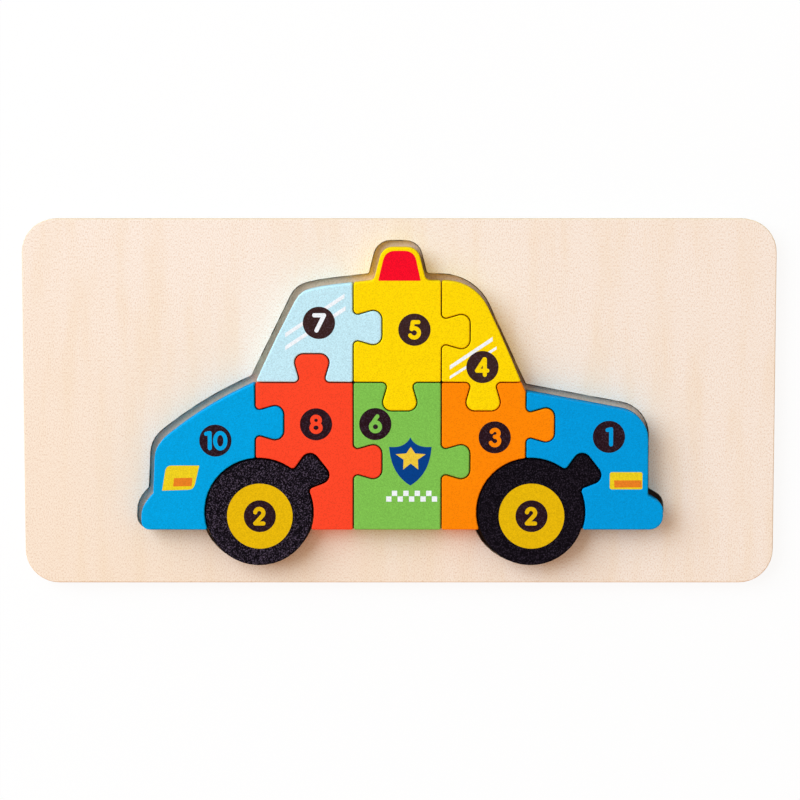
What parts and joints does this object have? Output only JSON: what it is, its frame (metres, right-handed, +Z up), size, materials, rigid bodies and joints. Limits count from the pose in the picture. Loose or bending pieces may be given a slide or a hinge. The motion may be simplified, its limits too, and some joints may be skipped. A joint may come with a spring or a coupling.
{
  "type": "wooden tray puzzle",
  "caption": "Flat wooden tray with a car-shaped pocket that holds thick painted jigsaw pieces, which interlock with knobs and lift straight out.",
  "frame": {"origin": "middle of the tray's underside", "axes": "+X along the tray's length towards the back of the car, +Y towards the car's roof, +Z up out of the tray"},
  "size_m": [0.3, 0.146, 0.015],
  "materials": {
    "bare_wood": "bare sanded plywood",
    "blue_paint": "satin paint on wood",
    "pale_blue_paint": "satin paint on wood",
    "red_paint": "satin paint on wood",
    "yellow_paint": "satin paint on wood",
    "green_paint": "satin paint on wood",
    "orange_paint": "satin paint on wood",
    "black_paint": "satin paint on wood"
  },
  "bodies": {
    "tray": {"tray_back": "bare_wood", "tray_frame": "bare_wood"},
    "bonnet": {"bonnet_piece": "blue_paint"},
    "windscreen": {"windscreen_piece": "pale_blue_paint"},
    "front_door": {"front_door_piece": "red_paint"},
    "roof": {"roof_piece": "yellow_paint"},
    "middle_door": {"middle_door_piece": "green_paint"},
    "rear_window": {"rear_window_piece": "yellow_paint"},
    "rear_door": {"rear_door_piece": "orange_paint"},
    "boot": {"boot_piece": "blue_paint"},
    "front_wheel": {"front_wheel_piece": "black_paint"},
    "rear_wheel": {"rear_wheel_piece": "black_paint"}
  },
  "joints": [
    {"name": "bonnet_lift", "type": "slide", "parent": "tray", "child": "bonnet", "axis": [0, 0, 1], "range_m": [0, 0.03]},
    {"name": "windscreen_lift", "type": "slide", "parent": "tray", "child": "windscreen", "axis": [0, 0, 1], "range_m": [0, 0.03]},
    {"name": "front_door_lift", "type": "slide", "parent": "tray", "child": "front_door", "axis": [0, 0, 1], "range_m": [0, 0.03]},
    {"name": "roof_lift", "type": "slide", "parent": "tray", "child": "roof", "axis": [0, 0, 1], "range_m": [0, 0.03]},
    {"name": "middle_door_lift", "type": "slide", "parent": "tray", "child": "middle_door", "axis": [0, 0, 1], "range_m": [0, 0.03]},
    {"name": "rear_window_lift", "type": "slide", "parent": "tray", "child": "rear_window", "axis": [0, 0, 1], "range_m": [0, 0.03]},
    {"name": "rear_door_lift", "type": "slide", "parent": "tray", "child": "rear_door", "axis": [0, 0, 1], "range_m": [0, 0.03]},
    {"name": "boot_lift", "type": "slide", "parent": "tray", "child": "boot", "axis": [0, 0, 1], "range_m": [0, 0.03]},
    {"name": "front_wheel_lift", "type": "slide", "parent": "tray", "child": "front_wheel", "axis": [0, 0, 1], "range_m": [0, 0.03]},
    {"name": "rear_wheel_lift", "type": "slide", "parent": "tray", "child": "rear_wheel", "axis": [0, 0, 1], "range_m": [0, 0.03]}
  ]
}
